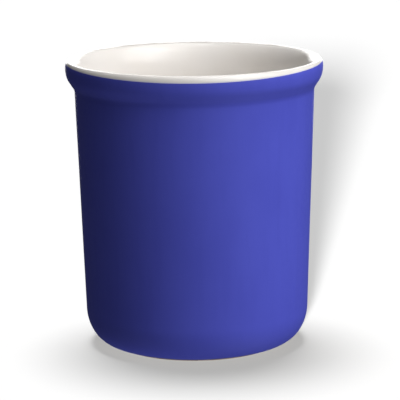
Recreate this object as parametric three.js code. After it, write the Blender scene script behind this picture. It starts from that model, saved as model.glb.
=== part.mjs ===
// Butter crock: a straight-sided stoneware pot with a flared collar, a rounded lip and a dry foot ring.
//
// The pot is one piece of fired clay that carries three fused coats of glaze: blue on the outside, white
// on the inside and over the lip, and blue in the recess under the base. The foot ring stays bare, so that
// the pot doesn't stick to the kiln shelf. Every piece is a body of revolution about the Z axis.
//
// Units are millimetres, +Z is up, and the origin is the centre of the foot, on the surface it stands on.

import * as THREE from "three";

// Driving dimensions. Radii and heights are those of the finished pot, over the glaze.
const HEIGHT = 150;
const RIM_RADIUS = 66.8;
const WALL_TOP_RADIUS = 62.2;
const WALL_BASE_RADIUS = 58.3;
const WALL_THICKNESS = 4.6;
const GLAZE_THICKNESS = 0.4;

// Foot ring and the hollow underside.
const FOOT_RADIUS = 44.2;
const FOOT_WIDTH = 4.6;
const FOOT_CHAMFER = 0.5;
const FOOT_HEIGHT = 0.9;
const RECESS_DEPTH = 2.8;
const RECESS_CROWN = 0.7;

// Base corner, outside and inside.
const CORNER_HEIGHT = 18.7;
const FLOOR_THICKNESS = 4.8;
const FLOOR_CORNER_RADIUS = 12;
const FLOOR_DISH = 0.6;

// Collar: how far below the rim its widest line, its lower edge and its crease lie, how round its face is,
// and which share of its sloping underside the fillet into the wall takes.
const WIDEST_DROP = 3.9;
const COLLAR_EDGE_DROP = 9.6;
const COLLAR_DROP = 15.2;
const COLLAR_ARC_RADIUS = 17.6;
const FILLET_SHARE = 0.25;

// Lip, which rolls inwards in one long curve down to the throat.
const LIP_OUTER_REACH = 2.2;
const WHITE_LINE_DROP = 3.3;
const THROAT_DROP = 18;

// How finely round shapes are divided.
const TURN_SEGMENTS = 64;
const CORNER_STEPS = 5;
const LIP_STEPS = 8;
const ARC_STEPS = 4;
const SMALL_ARC_STEPS = 2;

const QUARTER = Math.PI / 2;

// A point of a profile: distance from the axis and height.
const at = (radius, height) => new THREE.Vector2(radius, height);

// Points along an elliptical arc about (radius, height), from one angle to another.
function arc(radius, height, acrossAxis, upAxis, from, to, steps) {
  return new THREE.EllipseCurve(radius, height, acrossAxis, upAxis, from, to, to < from).getPoints(steps);
}

// Joins stretches into one line and drops points that fall on the one before.
function join(...stretches) {
  const line = [];
  for (const point of stretches.flat()) {
    if (!line.length || point.distanceTo(line.at(-1)) > 1e-3) {
      line.push(point);
    }
  }
  return line;
}

// The line moved sideways by `distance`, to the right of its direction of travel. A point on the axis
// stays there.
function offset(line, distance) {
  return line.map((point, i) => {
    const before = line[Math.max(i - 1, 0)];
    const after = line[Math.min(i + 1, line.length - 1)];
    const into = point.clone().sub(before).normalize();
    const out = after.clone().sub(point).normalize();
    const along = into.add(out).normalize();
    const moved = at(point.x + distance * along.y, point.y - distance * along.x);
    return point.x < 1e-6 ? at(0, moved.y) : moved;
  });
}

// Outer radius of the pot's tapered wall at a height.
function wallRadius(height) {
  const low = FOOT_HEIGHT + CORNER_HEIGHT;
  const high = HEIGHT - COLLAR_DROP;
  return THREE.MathUtils.mapLinear(height, low, high, WALL_BASE_RADIUS, WALL_TOP_RADIUS);
}

// Outside of the lip, from one angle to another, on a quarter ellipse from the collar's widest line up to
// the crest.
function lipOutside(from, to) {
  const crest = RIM_RADIUS - LIP_OUTER_REACH;
  return arc(crest, HEIGHT - WIDEST_DROP, LIP_OUTER_REACH, WIDEST_DROP, from, to, ARC_STEPS);
}

// Where on that quarter ellipse the blue meets the white.
const WHITE_LINE_ANGLE = Math.asin((WIDEST_DROP - WHITE_LINE_DROP) / WIDEST_DROP);

// Glazed outside, from the glaze's lower edge above the foot up to where the blue meets the white.
function outsideLine() {
  const cornerTop = FOOT_HEIGHT + CORNER_HEIGHT;
  const corner = arc(
    FOOT_RADIUS,
    cornerTop,
    WALL_BASE_RADIUS - FOOT_RADIUS,
    CORNER_HEIGHT,
    -QUARTER,
    0,
    CORNER_STEPS,
  );

  const widest = HEIGHT - WIDEST_DROP;
  const edgeAngle = Math.asin((WIDEST_DROP - COLLAR_EDGE_DROP) / COLLAR_ARC_RADIUS);
  const collarCentre = RIM_RADIUS - COLLAR_ARC_RADIUS;
  const collar = arc(collarCentre, widest, COLLAR_ARC_RADIUS, COLLAR_ARC_RADIUS, edgeAngle, 0, ARC_STEPS);

  const creaseHeight = HEIGHT - COLLAR_DROP;
  const creasePoint = at(wallRadius(creaseHeight), creaseHeight);
  const filletTop = creasePoint.clone().lerp(collar[0], FILLET_SHARE);
  const filletLow = creaseHeight - filletTop.distanceTo(creasePoint);
  const crease = new THREE.QuadraticBezierCurve(
    at(wallRadius(filletLow), filletLow),
    creasePoint,
    filletTop,
  ).getPoints(SMALL_ARC_STEPS);

  return join(corner, crease, collar, [lipOutside(0, WHITE_LINE_ANGLE).at(-1)]);
}

// Glazed inside, from the white line over the lip, down the wall and across the floor to the axis.
function insideLine() {
  const lipOuter = lipOutside(WHITE_LINE_ANGLE, QUARTER);
  const crest = RIM_RADIUS - LIP_OUTER_REACH;
  const throat = HEIGHT - THROAT_DROP;
  const lipReach = crest - wallRadius(throat) + WALL_THICKNESS;
  const lipInner = arc(crest, throat, lipReach, THROAT_DROP, QUARTER, Math.PI, LIP_STEPS);

  const floor = RECESS_DEPTH + FLOOR_THICKNESS;
  const cornerTop = floor + FLOOR_CORNER_RADIUS;
  const corner = arc(
    wallRadius(cornerTop) - WALL_THICKNESS - FLOOR_CORNER_RADIUS,
    cornerTop,
    FLOOR_CORNER_RADIUS,
    FLOOR_CORNER_RADIUS,
    0,
    -QUARTER,
    CORNER_STEPS,
  );

  return join(lipOuter, lipInner, corner, [at(0, floor - FLOOR_DISH)]);
}

// Glazed recess under the base, from the axis out to the inner side of the foot ring.
function recessLine() {
  const recessRadius = FOOT_RADIUS - FOOT_WIDTH - RECESS_DEPTH;
  return [at(0, RECESS_DEPTH + RECESS_CROWN), at(recessRadius, RECESS_DEPTH)];
}

// Bare clay of the foot ring, from the recess, under the ring and up to the outside.
function footLine() {
  const inner = FOOT_RADIUS - FOOT_WIDTH;
  return [
    at(inner, FOOT_CHAMFER),
    at(inner + FOOT_CHAMFER, 0),
    at(FOOT_RADIUS - FOOT_CHAMFER, 0),
    at(FOOT_RADIUS, FOOT_CHAMFER),
  ];
}

// A solid of revolution about Z. The closed profile runs anticlockwise, with the axis on its left.
function turned(profile) {
  const geometry = new THREE.LatheGeometry(profile, TURN_SEGMENTS);
  return geometry.rotateX(QUARTER);
}

// One named piece of the crock.
function piece(name, profile, material) {
  const mesh = new THREE.Mesh(turned(profile), material);
  mesh.name = name;
  return mesh;
}

const clay = new THREE.MeshStandardMaterial({ color: 0xd8c7ab, roughness: 0.9, metalness: 0 });
const blueGlaze = new THREE.MeshStandardMaterial({ color: 0x3c41b4, roughness: 0.35, metalness: 0 });
const whiteGlaze = new THREE.MeshStandardMaterial({ color: 0xf6f1e9, roughness: 0.2, metalness: 0 });

// The glazed skin is one line from the foot, over the lip, to the axis. Each coat is the band between a
// stretch of that line and the clay under it, so neighbouring coats share the same points where they meet.
const outside = outsideLine();
const glazedSkin = join(outside, insideLine());
const claySkin = offset(glazedSkin, -GLAZE_THICKNESS);
const recessSkin = recessLine();
const recessClay = offset(recessSkin, -GLAZE_THICKNESS);
const seam = outside.length - 1;

// The clay under the coats, from the middle of the recess, round the foot and the lip, to the middle of
// the floor.
function bodyProfile() {
  return [...recessClay, ...footLine(), ...claySkin];
}

// The band outside the pot, which closes on itself.
function outerCoatProfile() {
  const bare = claySkin.slice(0, seam + 1).reverse();
  return [...bare, ...glazedSkin.slice(0, seam + 1), bare[0]];
}

// The band inside the pot and over the lip, which starts and ends on the axis.
function innerCoatProfile() {
  return [...claySkin.slice(seam).reverse(), ...glazedSkin.slice(seam)];
}

// The disc of glaze in the recess.
function baseCoatProfile() {
  return [...recessSkin, ...recessClay.toReversed()];
}

const crock = new THREE.Group();
crock.add(
  piece("stoneware_body", bodyProfile(), clay),
  piece("outer_blue_glaze", outerCoatProfile(), blueGlaze),
  piece("inner_white_glaze", innerCoatProfile(), whiteGlaze),
  piece("base_blue_glaze", baseCoatProfile(), blueGlaze),
);

export default crock;
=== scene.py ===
"""The looks of a butter crock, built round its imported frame.

The crock is one stoneware pot under three coats of glaze. Each of them is modelled here as its own
closed piece: a section line is drawn out point by point and turned about the pot's axis, and a coat is
then thickened towards the clay. Lengths are metres, +Z is up, and the pot stands on Z = 0 with its axis
on the origin.
"""

import logging
import math
from collections.abc import Callable
from dataclasses import dataclass
from enum import Enum

import bmesh
import bpy
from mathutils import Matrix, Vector


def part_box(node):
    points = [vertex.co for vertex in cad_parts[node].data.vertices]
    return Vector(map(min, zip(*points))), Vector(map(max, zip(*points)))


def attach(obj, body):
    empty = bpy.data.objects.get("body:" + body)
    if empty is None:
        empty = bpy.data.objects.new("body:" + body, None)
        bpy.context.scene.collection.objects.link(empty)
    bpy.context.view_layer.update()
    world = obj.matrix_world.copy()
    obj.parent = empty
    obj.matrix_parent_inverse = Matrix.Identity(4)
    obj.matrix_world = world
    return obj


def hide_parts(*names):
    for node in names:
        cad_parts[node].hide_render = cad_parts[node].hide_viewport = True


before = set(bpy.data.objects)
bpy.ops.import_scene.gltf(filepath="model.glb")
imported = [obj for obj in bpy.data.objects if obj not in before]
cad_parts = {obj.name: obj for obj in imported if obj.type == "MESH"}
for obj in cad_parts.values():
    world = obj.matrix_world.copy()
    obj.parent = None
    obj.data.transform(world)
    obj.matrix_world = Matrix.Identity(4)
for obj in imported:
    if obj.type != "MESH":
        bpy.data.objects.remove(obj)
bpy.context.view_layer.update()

LOG = logging.getLogger("butter_crock")
MM = 0.001
SAME_PLACE = 0.01 * MM
ON_AXIS = 0.001 * MM
BODY = "root"
QUARTER = math.pi / 2
WHITE = (1, 1, 1, 1)
NOISE_LOW, NOISE_HIGH = 0.3, 0.7
SHEEN_DETAIL = 3
OUTER_COAT = "outer_blue_coat"


class Sheen(Enum):
    """How glossy a fired surface is, as the shader's roughness."""

    GLOSSY = 0.2
    SATIN = 0.48
    BARE = 0.88


# --------------------------------------------------------------------------------------------- section


def arc(
    centre: tuple[float, float], across: float, up: float, start: float, end: float, steps: int
) -> list[Vector]:
    """Points along an elliptical arc in the section plane.

    Args:
        centre: Distance from the axis and height of the arc's centre.
        across: Half width of the ellipse, away from the axis.
        up: Half height of the ellipse.
        start: First angle, in radians from the outward direction.
        end: Last angle.
        steps: How many stretches the arc is divided into.

    Returns:
        The points, both ends included.
    """
    points = []
    for i in range(steps + 1):
        angle = start + (end - start) * i / steps
        radius = centre[0] + across * math.cos(angle)
        points.append(Vector((radius, 0, centre[1] + up * math.sin(angle))))
    return points


def bend(control: list[Vector], steps: int) -> list[Vector]:
    """Points along a Bezier curve of any degree.

    Args:
        control: The curve's control points, from start to end.
        steps: How many stretches the curve is divided into.

    Returns:
        The points, both ends included.
    """
    points = []
    for i in range(steps + 1):
        level = list(control)
        while len(level) > 1:
            level = [a.lerp(b, i / steps) for a, b in zip(level, level[1:])]
        points.append(level[0])
    return points


def joined(*stretches: list[Vector]) -> list[Vector]:
    """One line out of several stretches, without the points that fall on the one before.

    Args:
        stretches: The stretches, in the order in which they are travelled.

    Returns:
        The whole line.
    """
    line: list[Vector] = []
    for point in (p for stretch in stretches for p in stretch):
        if not line or (point - line[-1]).length > SAME_PLACE:
            line.append(point)
    return line


def sunk(line: list[Vector], depth: float) -> list[Vector]:
    """The line moved to the left of its direction of travel, which is into the clay.

    Args:
        line: Points in the section plane.
        depth: How far it moves. A point on the axis stays on it.

    Returns:
        The moved points, one for each of the line's.
    """
    moved = []
    for i, point in enumerate(line):
        into = (point - line[i - 1]).normalized() if i else Vector()
        out = (line[i + 1] - point).normalized() if i + 1 < len(line) else Vector()
        along = (into + out).normalized()
        inner = point + depth * Vector((-along.z, 0, along.x))
        moved.append(Vector((0, 0, inner.z)) if point.x < ON_AXIS else inner)
    return moved


@dataclass(frozen=True)
class Fineness:
    """Into how many stretches each part of the section is divided."""

    corner: int = 30
    wall: int = 36
    fillet: int = 10
    underside: int = 5
    edge: int = 8
    collar: int = 16
    collar_in_edge: int = 4
    border: int = 3
    lip: int = 14
    roll: int = 36
    inner_wall: int = 30
    floor_corner: int = 18
    floor: int = 16
    recess: int = 14
    foot_edge: int = 6
    foot_flat: int = 8


@dataclass(frozen=True)
class Section:
    """The pot cut through one side: its skin over the glaze, and the clay under it.

    A drop is a depth below the top of the rim.
    """

    height: float
    rim_radius: float
    white_line: float
    glaze: float
    blue_foot: float
    recess_radius: float
    recess_height: float
    recess_crown: float
    wall_top_radius: float = 62.2 * MM
    wall_base_radius: float = 58.3 * MM
    wall: float = 4.6 * MM
    foot_radius: float = 44.2 * MM
    foot_inner_radius: float = 39.6 * MM
    foot_softness: float = 0.5 * MM
    corner_height: float = 18.7 * MM
    floor_height: float = 7.6 * MM
    floor_corner: float = 12 * MM
    floor_dish: float = 0.6 * MM
    widest_drop: float = 3.9 * MM
    collar_edge_drop: float = 9.6 * MM
    collar_drop: float = 15.2 * MM
    collar_arc: float = 17.6 * MM
    fillet_share: float = 0.25
    edge_share: float = 0.3
    lip_outer_reach: float = 2.2 * MM
    throat_drop: float = 18 * MM
    fine: Fineness = Fineness()

    @classmethod
    def from_frame(cls) -> "Section":
        """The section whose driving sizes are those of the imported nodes.

        Returns:
            The section.
        """
        blue_low, blue_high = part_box("outer_blue_glaze")
        white_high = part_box("inner_white_glaze")[1]
        clay_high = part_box("stoneware_body")[1]
        recess_low, recess_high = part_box("base_blue_glaze")
        glaze = white_high.z - clay_high.z
        return cls(
            height=white_high.z,
            rim_radius=blue_high.x,
            white_line=blue_high.z,
            glaze=glaze,
            blue_foot=blue_low.z,
            recess_radius=recess_high.x,
            recess_height=recess_low.z,
            recess_crown=recess_high.z - recess_low.z - glaze,
        )

    def wall_radius(self, height: float) -> float:
        """Outer radius of the tapered wall at a height.

        Args:
            height: How far above the ground.

        Returns:
            The radius.
        """
        low = self.blue_foot + self.corner_height
        high = self.height - self.collar_drop
        share = (height - low) / (high - low)
        return self.wall_base_radius + share * (self.wall_top_radius - self.wall_base_radius)

    def outside(self) -> list[Vector]:
        """The blue skin, from above the foot to the white line.

        Returns:
            Its points, with the clay on the left of the way up.
        """
        corner_top = self.blue_foot + self.corner_height
        corner = arc(
            (self.foot_radius, corner_top),
            self.wall_base_radius - self.foot_radius,
            self.corner_height,
            -QUARTER,
            0,
            self.fine.corner,
        )
        widest = self.height - self.widest_drop
        edge_angle = math.asin((self.widest_drop - self.collar_edge_drop) / self.collar_arc)
        collar = arc(
            (self.rim_radius - self.collar_arc, widest),
            self.collar_arc,
            self.collar_arc,
            edge_angle,
            0,
            self.fine.collar,
        )
        crease_height = self.height - self.collar_drop
        crease_point = Vector((self.wall_radius(crease_height), 0, crease_height))
        fillet_top = crease_point.lerp(collar[0], self.fillet_share)
        fillet_height = crease_height - (fillet_top - crease_point).length
        fillet_low = Vector((self.wall_radius(fillet_height), 0, fillet_height))
        wall = bend([corner[-1], fillet_low], self.fine.wall)
        fillet = bend([fillet_low, crease_point, fillet_top], self.fine.fillet)
        edge_low = collar[0].lerp(fillet_top, self.edge_share)
        underside = bend([fillet_top, edge_low], self.fine.underside)
        face = collar[self.fine.collar_in_edge :]
        edge = bend([edge_low, collar[0], face[0]], self.fine.edge)
        border = self.lip_outside(0, self.white_angle(), self.fine.border)
        return joined(corner, wall, fillet, underside, edge, face, border)

    def white_angle(self) -> float:
        """Where on the lip's outer quarter ellipse the blue meets the white."""
        return math.asin((self.white_line - self.height + self.widest_drop) / self.widest_drop)

    def lip_outside(self, start: float, end: float, steps: int) -> list[Vector]:
        """The lip's outside, from the collar's widest line up towards the crest."""
        centre = (self.rim_radius - self.lip_outer_reach, self.height - self.widest_drop)
        return arc(centre, self.lip_outer_reach, self.widest_drop, start, end, steps)

    def lip(self) -> list[Vector]:
        """The white skin from the white line up to the crest of the lip."""
        return self.lip_outside(self.white_angle(), QUARTER, self.fine.lip)

    def inside(self) -> list[Vector]:
        """The white skin from the crest, rolling inwards to the throat, down the wall and over the floor.

        Returns:
            Its points, from the crest to the axis.
        """
        crest = self.rim_radius - self.lip_outer_reach
        throat_height = self.height - self.throat_drop
        throat = Vector((self.wall_radius(throat_height) - self.wall, 0, throat_height))
        roll = arc(
            (crest, throat_height), crest - throat.x, self.throat_drop, QUARTER, math.pi, self.fine.roll
        )
        corner_top = self.floor_height + self.floor_corner
        wall_foot = self.wall_radius(corner_top) - self.wall
        wall = bend([throat, Vector((wall_foot, 0, corner_top))], self.fine.inner_wall)
        corner = arc(
            (wall_foot - self.floor_corner, corner_top),
            self.floor_corner,
            self.floor_corner,
            0,
            -QUARTER,
            self.fine.floor_corner,
        )
        middle = Vector((0, 0, self.floor_height - self.floor_dish))
        floor = bend([corner[-1], middle], self.fine.floor)
        return joined(roll, wall, corner, floor)

    def recess(self) -> list[Vector]:
        """The blue skin under the base, from the axis out."""
        crown = Vector((0, 0, self.recess_height + self.recess_crown))
        return bend([crown, Vector((self.recess_radius, 0, self.recess_height))], self.fine.recess)

    def foot(self) -> list[Vector]:
        """Bare clay of the foot ring, from the recess, under the ring and up its outside.

        Returns:
            Its points.
        """
        soft = self.foot_softness
        steps = self.fine.foot_edge
        inner = arc((self.foot_inner_radius + soft, soft), soft, soft, math.pi, 3 * QUARTER, steps)
        outer = arc((self.foot_radius - soft, soft), soft, soft, -QUARTER, 0, steps)
        return joined(inner, bend([inner[-1], outer[0]], self.fine.foot_flat), outer)

    def rim_outside_radius(self, height: float) -> float:
        """Outer radius of the collar and the lip at a height, on the arcs that they are made of.

        Args:
            height: How far above the ground, on the collar's face or higher.

        Returns:
            The radius.
        """
        over = height - (self.height - self.widest_drop)
        if over <= 0:
            return self.rim_radius - self.collar_arc + math.sqrt(self.collar_arc**2 - over**2)
        share = min(over / self.widest_drop, 1)
        return self.rim_radius - self.lip_outer_reach * (1 - math.sqrt(1 - share**2))


# ----------------------------------------------------------------------------------------------- wheel


def select_only(piece: bpy.types.Object) -> None:
    """Makes a piece the one that the next operator works on.

    Args:
        piece: The piece.
    """
    bpy.ops.object.select_all(action="DESELECT")
    piece.select_set(True)
    bpy.context.view_layer.objects.active = piece


@dataclass(frozen=True)
class Wheel:
    """Turns section lines into pieces, and finishes their thickness, edges and surface."""

    turns: int = 240
    merge: float = 0.002 * MM
    cell_size: float = 0.008 * MM
    wobble: float = 0.12 * MM
    wobble_scale: float = 34 * MM
    sharp_angle: float = math.radians(40)
    smooth_angle: float = math.radians(50)
    edge_strips: int = 3

    def start(self, name: str, point: Vector) -> bpy.types.Object:
        """Adds a small primitive, welds it to one vertex at a point and stays in edit mode.

        Args:
            name: Name of the new piece.
            point: Where its section line begins.

        Returns:
            The piece's object.
        """
        if bpy.context.object and bpy.context.object.mode != "OBJECT":
            bpy.ops.object.mode_set(mode="OBJECT")
        bpy.ops.object.select_all(action="DESELECT")
        bpy.ops.mesh.primitive_plane_add(size=MM, location=point)
        piece = bpy.context.object
        piece.name = piece.data.name = name
        bpy.ops.object.transform_apply(location=True)
        bpy.ops.object.mode_set(mode="EDIT")
        bpy.ops.mesh.select_mode(type="VERT")
        bpy.ops.mesh.select_all(action="SELECT")
        bpy.ops.mesh.merge(type="CENTER")
        return piece

    def turn(self, name: str, line: list[Vector]) -> bpy.types.Object:
        """Draws a section line out vertex by vertex and spins it a full turn about the pot's axis.

        Args:
            name: Name of the new piece.
            line: The section, travelled with the clay on its left.

        Returns:
            The turned skin, in object mode, with its front away from the clay.
        """
        piece = self.start(name, line[0])
        for before, after in zip(line, line[1:]):
            bpy.ops.mesh.extrude_region_move(TRANSFORM_OT_translate={"value": after - before})
        bpy.ops.mesh.select_all(action="SELECT")
        bpy.ops.mesh.spin(steps=self.turns, angle=2 * math.pi, center=(0, 0, 0), axis=(0, 0, 1))
        bpy.ops.mesh.select_all(action="SELECT")
        bpy.ops.mesh.remove_doubles(threshold=self.merge)
        bpy.ops.mesh.normals_make_consistent(inside=False)
        if self.front_is_wrong(piece, line):
            bpy.ops.mesh.flip_normals()
        bpy.ops.object.mode_set(mode="OBJECT")
        return piece

    @staticmethod
    def front_is_wrong(piece: bpy.types.Object, line: list[Vector]) -> bool:
        """Tells whether a skin shows its back where its front should be.

        Args:
            piece: The skin, in edit mode.
            line: The section it was turned from, with the clay on its left.

        Returns:
            True if the normals have to be flipped.
        """
        middle = len(line) // 2
        along = (line[middle] - line[middle - 1]).normalized()
        away = Vector((along.z, 0, -along.x))
        spot = (line[middle] + line[middle - 1]) / 2
        faces = bmesh.from_edit_mesh(piece.data).faces
        nearest = min(faces, key=lambda face: (face.calc_center_median() - spot).length)
        return nearest.normal.dot(away) < 0

    def mark_length(self, piece: bpy.types.Object, line: list[Vector]) -> None:
        """Writes how far along the section each vertex lies, in metres, as the attribute along.

        Args:
            piece: A skin fresh from the wheel.
            line: The section it was turned from.
        """
        reached = [0.0]
        for before, after in zip(line, line[1:]):
            reached.append(reached[-1] + (after - before).length)
        places = {self.cell(point.x, point.z): length for point, length in zip(line, reached)}
        mark = piece.data.attributes.new("along", "FLOAT", "POINT")
        for vertex in piece.data.vertices:
            spot = Vector((math.hypot(vertex.co.x, vertex.co.y), 0, vertex.co.z))
            found = places.get(self.cell(spot.x, spot.z))
            if found is None:
                found = min(zip(line, reached), key=lambda place: (place[0] - spot).length)[1]
            mark.data[vertex.index].value = found

    def cell(self, radius: float, height: float) -> tuple[int, int]:
        """Which small square of the section plane a point lies in."""
        return round(radius / self.cell_size), round(height / self.cell_size)

    def hand(self, piece: bpy.types.Object) -> None:
        """Lets the surface waver by a tenth of a millimetre, always into the piece, as a fired pot does.

        Args:
            piece: A skin, before it gets its thickness.
        """
        cloud = bpy.data.textures.get("hand_wobble") or bpy.data.textures.new("hand_wobble", "CLOUDS")
        cloud.noise_scale = self.wobble_scale
        cloud.noise_depth = 1
        waver = piece.modifiers.new("waver", "DISPLACE")
        waver.texture = cloud
        waver.texture_coords = "LOCAL"
        waver.strength = self.wobble
        waver.mid_level = 1
        self.apply(piece, waver)

    def thicken(self, piece: bpy.types.Object, thickness: float) -> None:
        """Gives a skin its thickness, behind its front.

        Args:
            piece: The skin.
            thickness: How thick it becomes.
        """
        wall = piece.modifiers.new("thickness", "SOLIDIFY")
        wall.thickness = thickness
        wall.offset = -1
        wall.use_even_offset = True
        self.apply(piece, wall)

    @staticmethod
    def apply(piece: bpy.types.Object, modifier: bpy.types.Modifier) -> None:
        """Applies one modifier of a piece."""
        select_only(piece)
        bpy.ops.object.modifier_apply(modifier=modifier.name)

    def soften(
        self, piece: bpy.types.Object, chosen: Callable[[Vector, Vector], bool], width: float
    ) -> None:
        """Rounds the sharp edges whose place passes a test.

        Args:
            piece: The piece to work on.
            chosen: Takes an edge's two ends and says whether it is rounded.
            width: How far the rounding reaches from the edge.
        """
        select_only(piece)
        bpy.ops.object.mode_set(mode="EDIT")
        bpy.ops.mesh.select_mode(type="EDGE")
        bpy.ops.mesh.select_all(action="DESELECT")
        shape = bmesh.from_edit_mesh(piece.data)
        for edge in shape.edges:
            sharp = edge.is_manifold and edge.calc_face_angle() > self.sharp_angle
            edge.select_set(sharp and chosen(edge.verts[0].co, edge.verts[1].co))
        shape.select_flush_mode()
        bmesh.update_edit_mesh(piece.data)
        bpy.ops.mesh.bevel(offset=width, segments=self.edge_strips, affect="EDGES")
        bpy.ops.object.mode_set(mode="OBJECT")

    def polish(self, piece: bpy.types.Object) -> None:
        """Shades the piece smooth, except over its sharp edges."""
        select_only(piece)
        bpy.ops.object.shade_smooth_by_angle(angle=self.smooth_angle)


# -------------------------------------------------------------------------------------------- finishes


@dataclass(frozen=True)
class Mottle:
    """Soft blotches, which fade in from one value of a noise to a higher one.

    Detail is how many finer layers they have, and stretch is how many times taller than wide they are.
    """

    size: float
    low: float
    high: float
    most: float
    least: float = 0
    detail: float = 2
    stretch: float = 1


class Recipe:
    """A material's nodes, added one at a time round its one shader."""

    def __init__(self, name: str) -> None:
        """Starts an empty recipe.

        Args:
            name: Name of the material.
        """
        self.material = bpy.data.materials.new(name)
        self.material.use_nodes = True
        self.tree = self.material.node_tree
        self.shader = self.tree.nodes["Principled BSDF"]
        self.place = self.add("ShaderNodeTexCoord").outputs["Object"]

    def add(self, kind: str, **settings: object) -> bpy.types.Node:
        """Adds a node and sets its properties.

        Args:
            kind: The node's type.
            settings: Its properties, by name.

        Returns:
            The node.
        """
        node = self.tree.nodes.new(kind)
        for key, value in settings.items():
            setattr(node, key, value)
        return node

    def join(self, output: bpy.types.NodeSocket, target: bpy.types.NodeSocket) -> None:
        """Links an output to an input."""
        self.tree.links.new(output, target)

    def noise(self, size: float, detail: float = 2, stretch: float = 1) -> bpy.types.NodeSocket:
        """Soft mottling.

        Args:
            size: Rough size of one blotch, in metres.
            detail: How many finer layers it has.
            stretch: How many times taller than wide a blotch is.

        Returns:
            The noise's value, about 0.5 in the middle.
        """
        mapping = self.add("ShaderNodeMapping")
        mapping.inputs["Scale"].default_value = (1 / size, 1 / size, 1 / size / stretch)
        cloud = self.add("ShaderNodeTexNoise")
        cloud.inputs["Scale"].default_value = 1
        cloud.inputs["Detail"].default_value = detail
        self.join(self.place, mapping.inputs["Vector"])
        self.join(mapping.outputs["Vector"], cloud.inputs["Vector"])
        return cloud.outputs["Fac"]

    def mottle(self, look: Mottle) -> bpy.types.NodeSocket:
        """How strong the blotches are at each place."""
        cloud = self.noise(look.size, look.detail, look.stretch)
        return self.ramp(cloud, look.low, look.high, look.least, look.most)

    def attribute(self, name: str) -> bpy.types.NodeSocket:
        """The value of a piece's own attribute."""
        return self.add("ShaderNodeAttribute", attribute_name=name).outputs["Fac"]

    def ramp(
        self, value: bpy.types.NodeSocket, low: float, high: float, to_low: float = 0, to_high: float = 1
    ) -> bpy.types.NodeSocket:
        """Turns a range of a value smoothly into another range.

        Args:
            value: What goes in.
            low: The value that gives to_low.
            high: The value that gives to_high.
            to_low: Result at low and beyond it.
            to_high: Result at high and beyond it.

        Returns:
            The new value.
        """
        node = self.add("ShaderNodeMapRange", interpolation_type="SMOOTHSTEP")
        for key, number in zip(("From Min", "From Max", "To Min", "To Max"), (low, high, to_low, to_high)):
            node.inputs[key].default_value = number
        self.join(value, node.inputs["Value"])
        return node.outputs["Result"]

    def band(
        self, along: bpy.types.NodeSocket, place: float, reach: float, strength: float, core: float = 0
    ) -> bpy.types.NodeSocket:
        """A soft band right round the piece.

        Args:
            along: How far along the section each place lies.
            place: Where along the section the band's middle is.
            reach: How far from its middle the band has faded out.
            strength: Its strength in the middle.
            core: How far from its middle it starts to fade.

        Returns:
            The band's strength at each place.
        """
        off = self.maths("ABSOLUTE", self.maths("SUBTRACT", along, place), 0)
        return self.ramp(off, core, reach, strength, 0)

    def maths(
        self, operation: str, a: bpy.types.NodeSocket, b: bpy.types.NodeSocket | float
    ) -> bpy.types.NodeSocket:
        """One sum, product or other operation on two values.

        Args:
            operation: The operation's name.
            a: The first value.
            b: The second value, either fixed or the output of another node.

        Returns:
            The result.
        """
        node = self.add("ShaderNodeMath", operation=operation)
        self.join(a, node.inputs[0])
        if isinstance(b, float | int):
            node.inputs[1].default_value = b
        else:
            self.join(b, node.inputs[1])
        return node.outputs[0]

    def blend(
        self,
        share: bpy.types.NodeSocket,
        first: bpy.types.NodeSocket | tuple[float, float, float],
        second: tuple[float, float, float],
    ) -> bpy.types.NodeSocket:
        """Mixes a second colour into a first one.

        Args:
            share: How much of the second colour there is.
            first: A colour, or the output of an earlier mix.
            second: The colour that is mixed in.

        Returns:
            The mixed colour.
        """
        node = self.add("ShaderNodeMix", data_type="RGBA")
        self.join(share, node.inputs["Factor"])
        if isinstance(first, tuple):
            node.inputs["A"].default_value = (*first, 1)
        else:
            self.join(first, node.inputs["A"])
        node.inputs["B"].default_value = (*second, 1)
        return node.outputs["Result"]

    def bump(
        self, height: bpy.types.NodeSocket, depth: float, under: bpy.types.NodeSocket | None = None
    ) -> bpy.types.NodeSocket:
        """Relief on the surface.

        Args:
            height: A value whose rise by 1 is a rise by depth.
            depth: Depth of the relief, in metres.
            under: An earlier relief that this one lies on.

        Returns:
            The normal.
        """
        node = self.add("ShaderNodeBump")
        node.inputs["Strength"].default_value = 1
        node.inputs["Distance"].default_value = depth
        self.join(height, node.inputs["Height"])
        if under is not None:
            self.join(under, node.inputs["Normal"])
        return node.outputs["Normal"]

    def dress(self, colour: bpy.types.NodeSocket, sheen: Mottle, normal: bpy.types.NodeSocket) -> None:
        """Gives the shader its colour, its slightly uneven roughness and its relief.

        Args:
            colour: The surface's colour.
            sheen: How the roughness varies.
            normal: The relief.
        """
        self.join(colour, self.shader.inputs["Base Color"])
        self.join(self.mottle(sheen), self.shader.inputs["Roughness"])
        self.join(normal, self.shader.inputs["Normal"])


def uneven(sheen: Sheen, size: float, below: float, above: float) -> Mottle:
    """A roughness that varies a little round its middle value.

    Args:
        sheen: The middle value.
        size: Rough size of one patch.
        below: How far the smoothest patches are below it.
        above: How far the roughest patches are above it.

    Returns:
        The roughness.
    """
    smoothest, roughest = sheen.value - below, sheen.value + above
    return Mottle(size, NOISE_LOW, NOISE_HIGH, roughest, smoothest, SHEEN_DETAIL)


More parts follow.
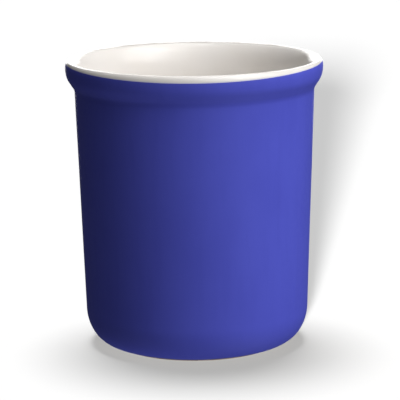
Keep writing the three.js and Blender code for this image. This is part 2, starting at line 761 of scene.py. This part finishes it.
@dataclass(frozen=True)
class BlueGlaze:
    """Satin cobalt glaze: a little deeper where it pools, and paler where it thins at an edge."""

    colour: tuple[float, float, float] = (0.090, 0.106, 0.62)
    deep: tuple[float, float, float] = (0.072, 0.084, 0.54)
    thin: tuple[float, float, float] = (0.15, 0.175, 0.71)
    sheen: Sheen = Sheen.SATIN
    sheen_size: float = 3 * MM
    smoother: float = 0.03
    rougher: float = 0.04
    clouds: Mottle = Mottle(38 * MM, 0.35, 0.7, 0.35)
    runs: Mottle = Mottle(5 * MM, 0.45, 0.75, 0.22, detail=3, stretch=7)
    pits: Mottle = Mottle(0.9 * MM, 0.2, 0.28, 1, detail=0)
    pit_depth: float = 0.02 * MM
    peel_size: float = 2.2 * MM
    peel_detail: float = 1
    peel_depth: float = 0.012 * MM
    edge_reach: float = 1.6 * MM
    edge_strength: float = 0.8
    pool_reach: float = 2.4 * MM
    pool_strength: float = 0.5
    refraction: float = 1.5
    specular: float = 0.28

    def mix(self, name: str, crease: float | None = None) -> bpy.types.Material:
        """Makes the glaze for one coat.

        Args:
            name: Name of the material.
            crease: How far along the section the glaze pools, if it does.

        Returns:
            The material.
        """
        recipe = Recipe(name)
        along = recipe.attribute("along")
        colour = recipe.blend(recipe.mottle(self.clouds), self.colour, self.deep)
        colour = recipe.blend(recipe.mottle(self.runs), colour, self.deep)
        edge = recipe.band(along, 0, self.edge_reach, self.edge_strength)
        colour = recipe.blend(edge, colour, self.thin)
        if crease is not None:
            pool = recipe.band(along, crease, self.pool_reach, self.pool_strength)
            colour = recipe.blend(pool, colour, self.deep)
        peel = recipe.bump(recipe.noise(self.peel_size, self.peel_detail), self.peel_depth)
        pits = recipe.bump(recipe.mottle(self.pits), self.pit_depth, peel)
        recipe.dress(colour, uneven(self.sheen, self.sheen_size, self.smoother, self.rougher), pits)
        recipe.shader.inputs["IOR"].default_value = self.refraction
        recipe.shader.inputs["Specular IOR Level"].default_value = self.specular
        return recipe.material


@dataclass(frozen=True)
class WhiteGlaze:
    """Glossy warm white glaze.

    It is creamier over the lip and bluish where it meets the blue, and carries a dark painted shade line,
    in patches, just inside the crest.
    """

    colour: tuple[float, float, float] = (0.90, 0.865, 0.83)
    cream: tuple[float, float, float] = (0.84, 0.79, 0.72)
    # Colour of the painted shade line that runs in patches just inside the crest.
    painted_crest_shade: tuple[float, float, float] = (0.36, 0.31, 0.27)
    stained: tuple[float, float, float] = (0.55, 0.56, 0.78)
    sheen: Sheen = Sheen.GLOSSY
    sheen_size: float = 4 * MM
    smoother: float = 0.03
    rougher: float = 0.05
    clouds: Mottle = Mottle(30 * MM, 0.35, 0.75, 0.3)
    patches: Mottle = Mottle(14 * MM, 0.38, 0.6, 0.75, least=0.15)
    cream_reach: float = 1.8 * MM
    cream_strength: float = 0.25
    line_inward: float = 0.6 * MM
    line_core: float = 0.3 * MM
    line_reach: float = 1.1 * MM
    stain_reach: float = 0.9 * MM
    stain_strength: float = 0.6
    peel_size: float = 2.6 * MM
    peel_detail: float = 1
    peel_depth: float = 0.012 * MM
    refraction: float = 1.5

    def mix(self, name: str, crest: float) -> bpy.types.Material:
        """Makes the glaze for the lining.

        Args:
            name: Name of the material.
            crest: How far along the section the top of the lip lies.

        Returns:
            The material.
        """
        recipe = Recipe(name)
        along = recipe.attribute("along")
        colour = recipe.blend(recipe.mottle(self.clouds), self.colour, self.cream)
        over = recipe.band(along, crest, self.cream_reach, self.cream_strength)
        colour = recipe.blend(over, colour, self.cream)
        # Painted shade: a dark line in patches just inside the crest, standing for the shaded back of the
        # lip's rolled edge.
        line = recipe.band(along, crest + self.line_inward, self.line_reach, 1, self.line_core)
        painted_crest_shade = recipe.maths("MULTIPLY", line, recipe.mottle(self.patches))
        colour = recipe.blend(painted_crest_shade, colour, self.painted_crest_shade)
        stain = recipe.band(along, 0, self.stain_reach, self.stain_strength)
        colour = recipe.blend(stain, colour, self.stained)
        peel = recipe.bump(recipe.noise(self.peel_size, self.peel_detail), self.peel_depth)
        recipe.dress(colour, uneven(self.sheen, self.sheen_size, self.smoother, self.rougher), peel)
        recipe.shader.inputs["IOR"].default_value = self.refraction
        return recipe.material


@dataclass(frozen=True)
class BareClay:
    """Fired buff stoneware: matt, grainy, with dark iron specks and the fine rings of the turning tool."""

    colour: tuple[float, float, float] = (0.56, 0.44, 0.30)
    toasted: tuple[float, float, float] = (0.42, 0.29, 0.17)
    iron: tuple[float, float, float] = (0.12, 0.07, 0.04)
    sheen: Sheen = Sheen.BARE
    sheen_size: float = 1.2 * MM
    smoother: float = 0.08
    rougher: float = 0.08
    toast: Mottle = Mottle(9 * MM, 0.35, 0.7, 1, detail=4)
    specks: Mottle = Mottle(0.8 * MM, 0.7, 0.78, 1, detail=0)
    grain_size: float = 0.5 * MM
    grain_detail: float = 4
    grain_depth: float = 0.05 * MM
    ring_scale: float = 420
    ring_waver: float = 1.5
    ring_depth: float = 0.02 * MM

    def mix(self, name: str) -> bpy.types.Material:
        """Makes the clay.

        Args:
            name: Name of the material.

        Returns:
            The material.
        """
        recipe = Recipe(name)
        colour = recipe.blend(recipe.mottle(self.toast), self.colour, self.toasted)
        colour = recipe.blend(recipe.mottle(self.specks), colour, self.iron)
        grain = recipe.bump(recipe.noise(self.grain_size, self.grain_detail), self.grain_depth)
        rings = recipe.add("ShaderNodeTexWave", wave_type="RINGS", rings_direction="Z")
        rings.inputs["Scale"].default_value = self.ring_scale
        rings.inputs["Distortion"].default_value = self.ring_waver
        recipe.join(recipe.place, rings.inputs["Vector"])
        relief = recipe.bump(rings.outputs["Fac"], self.ring_depth, grain)
        recipe.dress(colour, uneven(self.sheen, self.sheen_size, self.smoother, self.rougher), relief)
        return recipe.material


@dataclass(frozen=True)
class PaleFloor:
    """Matt white paper under the pot."""

    colour: tuple[float, float, float] = (0.7, 0.7, 0.7)
    dull: tuple[float, float, float] = (0.68, 0.68, 0.68)
    patches: Mottle = Mottle(200 * MM, NOISE_LOW, NOISE_HIGH, 0.02)

    def mix(self, name: str) -> bpy.types.Material:
        """Makes the floor's finish.

        Args:
            name: Name of the material.

        Returns:
            The material.
        """
        recipe = Recipe(name)
        colour = recipe.blend(recipe.mottle(self.patches), self.colour, self.dull)
        recipe.join(colour, recipe.shader.inputs["Base Color"])
        recipe.shader.inputs["Roughness"].default_value = 1
        recipe.shader.inputs["Specular IOR Level"].default_value = 0
        return recipe.material


# ---------------------------------------------------------------------------------------------- pieces


def length_of(line: list[Vector]) -> float:
    """Length of a section line."""
    return sum((b - a).length for a, b in zip(line, line[1:]))


@dataclass
class TurnedPiece:
    """What every piece has in common: it is turned from its section and takes its place on the pot."""

    section: Section
    wheel: Wheel
    edge_softness: float = 0.14 * MM
    border_rise: float = 0.9 * MM
    border_swing: float = 1.0 * MM
    border_reach: float = 5 * MM

    def wander(self, piece: bpy.types.Object) -> None:
        """Lets the border between the two glazes rise at the sides and stay low at the front and back.

        Args:
            piece: A skin that reaches the border. The points near it slide along the lip's surface.
        """
        border = self.section.white_line
        top = self.section.height
        crest_radius = self.section.rim_radius - self.section.lip_outer_reach
        for vertex in piece.data.vertices:
            co = vertex.co
            radius = math.hypot(co.x, co.y)
            if radius < crest_radius + SAME_PLACE or co.z < border - self.border_reach:
                continue
            drift = self.border_rise + self.border_swing * (co.x**2 - co.y**2) / radius**2
            if co.z > border:
                nearness = (top - co.z) / (top - border)
            else:
                nearness = 1 - (border - co.z) / self.border_reach
            height = co.z + drift * nearness
            scale = self.section.rim_outside_radius(height) / self.section.rim_outside_radius(co.z)
            co.x, co.y, co.z = co.x * scale, co.y * scale, height

    def finish(self, piece: bpy.types.Object, node: str, slot: str) -> bpy.types.Object:
        """Shades the piece, puts it in place of its CAD node and lets it ride on the pot's body.

        Args:
            piece: The finished mesh.
            node: The CAD node it stands for.
            slot: Not used.

        Returns:
            The piece.
        """
        self.wheel.polish(piece)
        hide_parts(node)
        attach(piece, BODY)
        LOG.info("%s: %d faces", piece.name, len(piece.data.polygons))
        return piece


@dataclass
class OuterCoat(TurnedPiece):
    """The blue glaze outside, from a soft edge above the foot ring to the white line on the lip."""

    glaze: BlueGlaze = BlueGlaze()
    foot_zone: float = 2 * MM

    def build(self) -> bpy.types.Object:
        """Models and dresses the coat.

        Returns:
            The piece.
        """
        line = self.section.outside()
        piece = self.wheel.turn(OUTER_COAT, line)
        self.wheel.mark_length(piece, line)
        self.wander(piece)
        self.wheel.hand(piece)
        self.wheel.thicken(piece, self.section.glaze)
        self.wheel.soften(piece, lambda a, b: max(a.z, b.z) < self.foot_zone, self.edge_softness)
        piece.data.materials.append(self.glaze.mix("satin_blue_glaze", self.crease_at(line)))
        return self.finish(piece, "outer_blue_glaze", "blue_glaze")

    def crease_at(self, line: list[Vector]) -> float:
        """How far along the section the crease under the collar lies."""
        below = [p for p in line if p.z < self.section.height - self.section.collar_drop]
        return length_of(below)


@dataclass
class Lining(TurnedPiece):
    """The white glaze inside, over the lip and a little way down its outside."""

    glaze: WhiteGlaze = WhiteGlaze()

    def build(self) -> bpy.types.Object:
        """Models and dresses the lining.

        Returns:
            The piece.
        """
        lip = self.section.lip()
        line = joined(lip, self.section.inside())
        piece = self.wheel.turn("white_lining", line)
        self.wheel.mark_length(piece, line)
        self.wander(piece)
        self.wheel.hand(piece)
        self.wheel.thicken(piece, self.section.glaze)
        piece.data.materials.append(self.glaze.mix("warm_white_glaze", length_of(lip)))
        return self.finish(piece, "inner_white_glaze", "white_glaze")


@dataclass
class RecessCoat(TurnedPiece):
    """The disc of blue glaze under the base, inside the foot ring."""

    glaze: BlueGlaze = BlueGlaze()

    def build(self) -> bpy.types.Object:
        """Models and dresses the disc, whose length is marked from its outer edge, where the glaze is thin.

        Returns:
            The piece.
        """
        line = self.section.recess()
        piece = self.wheel.turn("recess_blue_coat", line)
        self.wheel.mark_length(piece, list(reversed(line)))
        self.wheel.thicken(piece, self.section.glaze)
        self.wheel.soften(piece, lambda a, b: True, self.edge_softness)
        piece.data.materials.append(self.glaze.mix("recess_blue_glaze"))
        return self.finish(piece, "base_blue_glaze", "blue_glaze")


@dataclass
class Pot(TurnedPiece):
    """The clay itself: a closed turned body, bare only on its foot ring."""

    clay: BareClay = BareClay()

    def build(self) -> bpy.types.Object:
        """Models and dresses the clay.

        Returns:
            The piece.
        """
        skin = joined(self.section.outside(), self.section.lip(), self.section.inside())
        recess = sunk(self.section.recess(), self.section.glaze)
        line = joined(recess, self.section.foot(), sunk(skin, self.section.glaze))
        piece = self.wheel.turn("clay_body", line)
        piece.data.materials.append(self.clay.mix("bare_stoneware"))
        return self.finish(piece, "stoneware_body", "stoneware")


# ---------------------------------------------------------------------------------------------- studio


@dataclass(frozen=True)
class Softbox:
    """One square soft light that looks at the pot's middle.

    Angles are degrees and the power is in watts. A light that isn't mirrored stands for a soft bounce: it
    lights the pot but isn't seen in the glaze.
    """

    name: str
    azimuth: float
    elevation: float
    power: float
    distance: float = 1.1
    size: float = 0.8
    mirrored: bool = True

    def data(self) -> bpy.types.Light:
        """The light's own settings.

        Returns:
            The light's data, without a place of its own.
        """
        data = bpy.data.lights.new(self.name, "AREA")
        data.shape = "SQUARE"
        data.size = self.size
        data.energy = self.power
        return data


@dataclass(frozen=True)
class Skylight:
    """One round soft light, so far off that it falls evenly on the whole floor.

    Angles are degrees. The distance only says where the lamp hangs and doesn't change its light.
    """

    name: str
    azimuth: float
    elevation: float
    spread: float
    strength: float
    distance: float = 3
    mirrored: bool = True

    def data(self) -> bpy.types.Light:
        """The light's own settings.

        Returns:
            The light's data, without a place of its own.
        """
        data = bpy.data.lights.new(self.name, "SUN")
        data.angle = math.radians(self.spread)
        data.energy = self.strength
        return data


@dataclass
class Studio:
    """Floor, soft lights and camera.

    Azimuths are degrees round the pot from the camera's side, towards +X. The camera's distance is given in
    heights of the pot. The pot and the floor have lights of their own.
    """

    height: float
    pieces: list[bpy.types.Object]
    camera_distance: float = 8.0
    camera_elevation: float = math.radians(11.48)
    camera_roll: float = math.radians(-0.71)
    camera_shift: float = 0.0106
    camera_reach: float = 50
    lens: float = 206.2
    floor_size: float = 12
    room_light: float = 0.043
    pot_lights: tuple[Softbox, ...] = (
        Softbox("key_softbox", 60, 40, 6.2),
        Softbox("fill_softbox", 30, 40, 3.7),
        Softbox("top_softbox", 60, 75, 4.9),
        Softbox("right_bounce", 62, -54, 5.2, mirrored=False),
        Softbox("left_bounce", -75, -40, 0.95, mirrored=False),
        Softbox("back_softbox", 180, 12, 7),
    )
    floor_lights: tuple[Skylight, ...] = (
        Skylight("floor_front_light", -5.6, 8.8, 3.6, 12.4),
        Skylight("floor_back_light", -173, 78, 26, 2.55),
    )

    def build(self) -> None:
        """Sets up the whole studio."""
        floor = self.floor()
        self.hang(self.pot_lights, "lit_pot", self.pieces)
        self.hang(self.floor_lights, "lit_floor", [floor])
        # Light that bounced off the blue coat would tint the shadow on the floor.
        bpy.data.objects[OUTER_COAT].visible_diffuse = False
        self.surroundings()
        self.camera()
        LOG.info("studio: floor, %d lights and camera", len(self.pot_lights) + len(self.floor_lights))

    def floor(self) -> bpy.types.Object:
        """Lays the pale floor under the pot.

        Returns:
            The floor.
        """
        bpy.ops.object.select_all(action="DESELECT")
        bpy.ops.mesh.primitive_plane_add(size=self.floor_size)
        floor = bpy.context.object
        floor.name = "floor"
        floor.visible_diffuse = floor.visible_glossy = floor.visible_shadow = False
        floor.data.materials.append(PaleFloor().mix("pale_floor"))
        return floor

    def hang(self, lights: tuple[Softbox | Skylight, ...], group: str, lit: list[bpy.types.Object]) -> None:
        """Hangs lights that all look at the pot's middle.

        Args:
            lights: The lights.
            group: Name of the collection that holds what they shine on.
            lit: The only objects they shine on.
        """
        receivers = bpy.data.collections.new(group)
        for piece in lit:
            receivers.objects.link(piece)
        for light in lights:
            lamp = bpy.data.objects.new(light.name, light.data())
            bpy.context.scene.collection.objects.link(lamp)
            around, above = math.radians(light.azimuth), math.radians(light.elevation)
            level = Vector((math.sin(around), -math.cos(around), 0))
            away = level * math.cos(above) + Vector((0, 0, math.sin(above)))
            lamp.location = Vector((0, 0, self.height / 2)) + away * light.distance
            lamp.rotation_mode = "QUATERNION"
            lamp.rotation_quaternion = (-away).to_track_quat("-Z", "Y")
            lamp.visible_camera = False
            lamp.visible_glossy = light.mirrored
            lamp.light_linking.receiver_collection = receivers

    def surroundings(self) -> None:
        """Fills the room with dim even light, before a white backdrop."""
        world = bpy.data.worlds.new("room")
        world.use_nodes = True
        nodes, links = world.node_tree.nodes, world.node_tree.links
        light = nodes["Background"]
        light.inputs["Color"].default_value = WHITE
        light.inputs["Strength"].default_value = self.room_light
        backdrop = nodes.new("ShaderNodeBackground")
        backdrop.inputs["Color"].default_value = WHITE
        seen = nodes.new("ShaderNodeLightPath")
        mix = nodes.new("ShaderNodeMixShader")
        links.new(seen.outputs["Is Camera Ray"], mix.inputs[0])
        links.new(light.outputs[0], mix.inputs[1])
        links.new(backdrop.outputs[0], mix.inputs[2])
        links.new(mix.outputs[0], nodes["World Output"].inputs["Surface"])
        bpy.context.scene.world = world
        bpy.context.scene.view_settings.view_transform = "Standard"

    def camera(self) -> None:
        """Sets the camera in front of the pot, a little above it."""
        data = bpy.data.cameras.new("camera")
        data.lens = self.lens
        data.shift_x = self.camera_shift
        data.clip_end = self.camera_reach
        camera = bpy.data.objects.new("camera", data)
        bpy.context.scene.collection.objects.link(camera)
        above = self.camera_elevation
        away = Vector((0, -math.cos(above), math.sin(above)))
        camera.location = Vector((0, 0, self.height / 2)) + away * self.camera_distance * self.height
        camera.rotation_mode = "QUATERNION"
        camera.rotation_quaternion = (-away).to_track_quat("-Z", "Y")
        camera.rotation_mode = "XYZ"
        camera.rotation_euler.rotate_axis("Z", self.camera_roll)
        bpy.context.scene.camera = camera


def main() -> None:
    """Builds the pot, its coats and the studio, in that order."""
    logging.basicConfig(level=logging.INFO, format="%(name)s: %(message)s")
    section = Section.from_frame()
    wheel = Wheel()
    kinds = (Pot, OuterCoat, Lining, RecessCoat)
    pieces = [kind(section, wheel).build() for kind in kinds]
    Studio(section.height, pieces).build()


if __name__ == "__main__":
    main()
